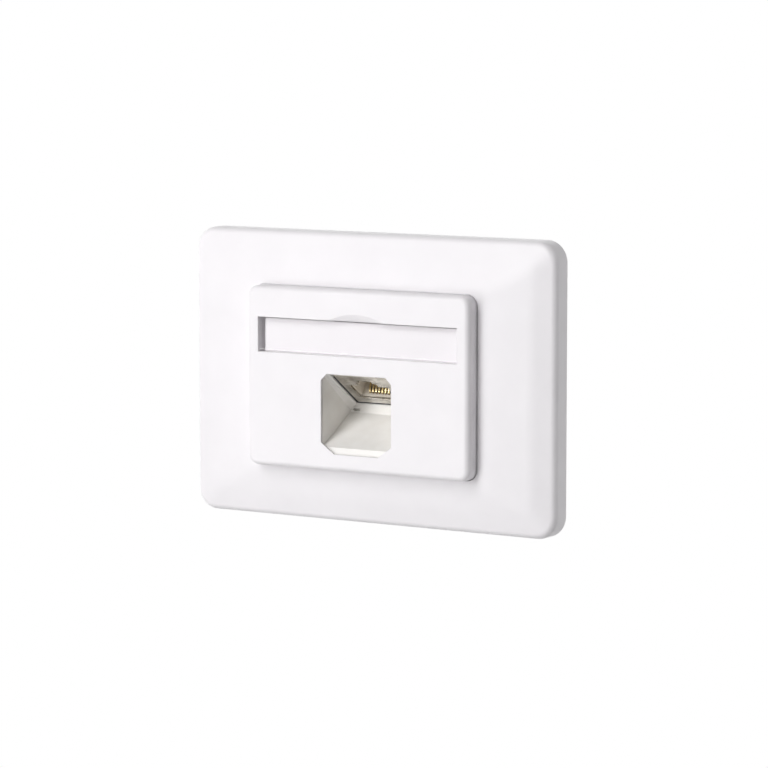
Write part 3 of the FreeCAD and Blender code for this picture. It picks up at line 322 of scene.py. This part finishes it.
# The finish of each material slot in the record
FINISHES = {
    "white_plastic": moulded(
        "white_moulding",
        dark=(0.89, 0.867, 0.89),
        light=(0.915, 0.892, 0.915),
        rough=(0.38, 0.48),
        edge=0.3,
    ),
    "grey_plastic": moulded(
        "grey_moulding",
        dark=(0.78, 0.72, 0.63),
        light=(0.86, 0.80, 0.71),
        rough=(0.42, 0.56),
        edge=0.2,
    ),
    "dark_plastic": moulded(
        "dark_moulding",
        dark=(0.014, 0.014, 0.016),
        light=(0.028, 0.028, 0.031),
        rough=(0.45, 0.6),
        edge=0.2,
    ),
    "nickel_sheet": sheet_metal(
        "nickel_can",
        dark=(0.38, 0.35, 0.305),
        light=(0.80, 0.775, 0.725),
        rough=(0.22, 0.36),
        stretch=(0.1, 1, 1),
    ),
    "spring_steel": sheet_metal(
        "spring_strip",
        dark=(0.46, 0.47, 0.48),
        light=(0.58, 0.59, 0.60),
        rough=(0.25, 0.4),
        stretch=(1, 0.1, 0.1),
    ),
    "tinned_bronze": sheet_metal(
        "tinned_blade",
        dark=(0.60, 0.585, 0.55),
        light=(0.72, 0.70, 0.67),
        rough=(0.26, 0.4),
        stretch=(1, 0.2, 0.2),
    ),
    "zinc_casting": cast_metal("cast_zinc"),
    "plated_steel": plated_steel("plated_sheet"),
    "clear_plastic": clear_plastic("clear_window"),
    "label_paper": paper("label_card"),
    "gold_contact": gold("gold_plating"),
    "board_green": circuit_board("green_board"),
}


def dress_nodes():
    """Gives every CAD node the finish of its material slot."""
    for part in frame["record"]["subparts"]:
        mesh = nodes[part["node"]].data
        mesh.materials.clear()
        mesh.materials.append(FINISHES[part["material_slot"]])


def plate_edge(corner, steps):
    """Points along the centre plate's edge, each with its way outward.

    They start at the right end of the top and run round by the left to the right end of the bottom.
    """
    (left, _, bottom), (right, _, top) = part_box("centre_plate")
    edge = [((right - corner, top), (0, 1))]
    arcs = (
        (left + corner, top - corner, 90),
        (left + corner, bottom + corner, 180),
    )
    for x, z, start in arcs:
        for step in range(steps + 1):
            angle = math.radians(start + 90 * step / steps)
            across = math.cos(angle)
            up = math.sin(angle)
            edge.append(((x + corner * across, z + corner * up), (across, up)))
    edge.append(((right - corner, bottom), (0, -1)))
    return edge


def add_gap_lip():
    """The frame's thin lip that closes up to the plate on all sides but the right, where the gap shows."""
    (_, frame_front, _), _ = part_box("cover_frame")
    front = frame_front + LIP_FRONT * MM
    back = front + LIP_DEPTH * MM
    inner = LIP_INNER * MM
    outer = LIP_OUTER * MM
    section = ((inner, front), (outer, front), (outer, back), (inner, back))
    edge = plate_edge(PLATE_CORNER * MM, LIP_CORNER_STEPS)
    points = [(x + out * across, y, z + out * up) for (x, z), (across, up) in edge for out, y in section]
    count = len(section)
    last = len(points) - count
    faces = [tuple(range(count)), tuple(reversed(range(last, len(points))))]
    for first in range(0, last, count):
        for side in range(count):
            after = (side + 1) % count
            faces.append((first + side, first + count + side, first + count + after, first + after))
    mesh = bpy.data.meshes.new("gap_lip")
    mesh.from_pydata(points, [], faces)
    mesh.materials.append(FINISHES["white_plastic"])
    lip = bpy.data.objects.new("gap_lip", mesh)
    scene.collection.objects.link(lip)
    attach(lip, "socket")


def direction(azimuth, elevation):
    """A way out from the part, by its degrees to the right of the front and above the level."""
    turn = math.radians(azimuth)
    rise = math.radians(elevation)
    return Vector((math.sin(turn) * math.cos(rise), -math.cos(turn) * math.cos(rise), math.sin(rise)))


def add_camera():
    """The photograph's view, from the right and a little above."""
    yaw = math.radians(CAMERA_YAW)
    back = direction(CAMERA_YAW, CAMERA_PITCH)
    right = Vector((math.cos(yaw), math.sin(yaw), 0))
    up = back.cross(right)
    aside = ORIGIN_RIGHT_OF_MIDDLE / FOCAL_LENGTH * CAMERA_DISTANCE
    above = ORIGIN_ABOVE_MIDDLE / FOCAL_LENGTH * CAMERA_DISTANCE
    place = back * CAMERA_DISTANCE - right * aside - up * above
    data = bpy.data.cameras.new("camera")
    data.sensor_width = SENSOR_WIDTH
    data.lens = SENSOR_WIDTH * FOCAL_LENGTH / IMAGE_WIDTH
    data.clip_start = CAMERA_CLIP_START
    camera = bpy.data.objects.new("camera", data)
    scene.collection.objects.link(camera)
    turn = Matrix((right, up, back)).transposed().to_4x4()
    camera.matrix_world = Matrix.Translation(place) @ turn
    scene.camera = camera


def add_lamp(name, azimuth, elevation, power, size):
    """A round soft box that faces the part."""
    data = bpy.data.lights.new(name, "AREA")
    data.shape = "DISK"
    data.size = size
    data.energy = power
    lamp = bpy.data.objects.new(name, data)
    scene.collection.objects.link(lamp)
    way = direction(azimuth, elevation)
    turn = way.to_track_quat("Z", "Y").to_matrix().to_4x4()
    lamp.matrix_world = Matrix.Translation(way * LAMP_DISTANCE) @ turn


def add_world():
    """A dome of light, brighter above, that looks plain white where it is seen or reflected."""
    world = bpy.data.worlds.new("studio")
    scene.world = world
    world.use_nodes = True
    sky = Nodes(world.node_tree)
    dome = sky.tree.nodes["Background"]
    dome.inputs["Color"].default_value = WHITE
    place = sky.node("ShaderNodeTexCoord").outputs["Generated"]
    height = sky.node("ShaderNodeSeparateXYZ", place).outputs["Z"]
    strength = sky.span(height, DOME_BELOW, DOME_ABOVE, start=-1, end=1)
    sky.tree.links.new(strength, dome.inputs["Strength"])
    plain_white = sky.node("ShaderNodeBackground", Color=WHITE, Strength=1.0)
    sky.mix(dome, plain_white, sky.seen_rays(), "World Output")


def floor_finish():
    """A pale matt finish that takes the shadow in the floor's middle and fades to white at its edge."""
    surface = Surface("floor", Roughness=0.9)
    grain = surface.node("ShaderNodeTexNoise", Scale=40).outputs["Fac"]
    surface.colour(grain, FLOOR_DARK, FLOOR_LIGHT, start=0, end=1)
    reach = surface.node("ShaderNodeVectorMath", surface.place)
    reach.operation = "LENGTH"
    fade = surface.node("ShaderNodeMapRange", reach.outputs["Value"], From_Max=FLOOR_RADIUS)
    fade.inputs["From Min"].default_value = FLOOR_RADIUS * FLOOR_FADE_START
    fade.interpolation_type = "SMOOTHSTEP"
    glow = surface.node("ShaderNodeEmission", Strength=1.0)
    white_share = surface.combined("MULTIPLY", fade.outputs["Result"], surface.seen_rays())
    surface.mix(surface.shader, glow, white_share, "Material Output")
    return surface.material


def add_floor():
    """A round floor under the part."""
    turns = [math.tau * corner / FLOOR_CORNERS for corner in range(FLOOR_CORNERS)]
    ring = [(FLOOR_RADIUS * math.cos(turn), FLOOR_RADIUS * math.sin(turn), FLOOR_LEVEL) for turn in turns]
    mesh = bpy.data.meshes.new("floor")
    mesh.from_pydata(ring, [], [list(range(FLOOR_CORNERS))])
    mesh.materials.append(floor_finish())
    floor = bpy.data.objects.new("floor", mesh)
    scene.collection.objects.link(floor)


dress_nodes()
add_gap_lip()
add_camera()
add_world()
for lamp_values in LAMPS:
    add_lamp(*lamp_values)
add_floor()

scene.view_settings.view_transform = "Standard"
